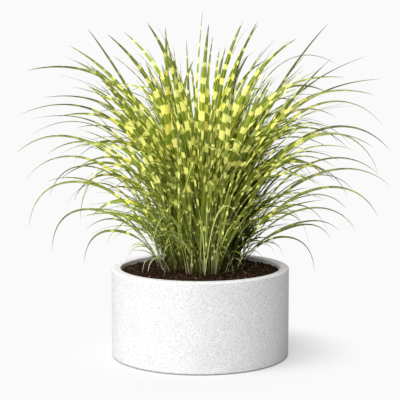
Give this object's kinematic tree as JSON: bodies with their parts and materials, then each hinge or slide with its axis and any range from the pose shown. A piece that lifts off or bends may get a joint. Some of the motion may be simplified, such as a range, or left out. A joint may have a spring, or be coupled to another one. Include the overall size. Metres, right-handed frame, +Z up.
{
  "type": "potted ornamental grass clump",
  "caption": "Upright clump of yellow-banded ornamental grass with long arching blades, rooted in dark soil in a low white cast-stone cylinder pot.",
  "frame": {"origin": "centre of the pot's flat underside, on the pot's axis", "axes": "+Z up along the pot's axis; -Y is the front of the clump; +X is to the right seen from the front"},
  "size_m": [0.8508, 0.8264, 0.78],
  "materials": {
    "pot_stone": "matte",
    "soil": "matte",
    "leaf": "satin"
  },
  "bodies": {
    "root": {"pot": "pot_stone", "soil": "soil", "shoot_01": "leaf", "shoot_02": "leaf", "shoot_03": "leaf", "shoot_04": "leaf", "shoot_05": "leaf", "shoot_06": "leaf", "shoot_07": "leaf", "shoot_08": "leaf", "shoot_09": "leaf", "shoot_10": "leaf", "shoot_11": "leaf", "shoot_12": "leaf", "shoot_13": "leaf", "shoot_14": "leaf", "shoot_15": "leaf", "shoot_16": "leaf", "shoot_17": "leaf", "shoot_18": "leaf", "shoot_19": "leaf", "shoot_20": "leaf", "shoot_21": "leaf", "shoot_22": "leaf", "shoot_23": "leaf", "shoot_24": "leaf", "shoot_25": "leaf", "shoot_26": "leaf", "shoot_27": "leaf", "shoot_28": "leaf", "shoot_29": "leaf", "shoot_30": "leaf", "shoot_31": "leaf", "shoot_32": "leaf", "shoot_33": "leaf", "shoot_34": "leaf", "shoot_35": "leaf", "shoot_36": "leaf", "shoot_37": "leaf", "shoot_38": "leaf", "shoot_39": "leaf", "shoot_40": "leaf", "shoot_41": "leaf", "shoot_42": "leaf", "shoot_43": "leaf", "shoot_44": "leaf", "shoot_45": "leaf", "shoot_46": "leaf", "shoot_47": "leaf", "shoot_48": "leaf", "shoot_49": "leaf", "shoot_50": "leaf", "shoot_51": "leaf", "shoot_52": "leaf"}
  },
  "joints": []
}
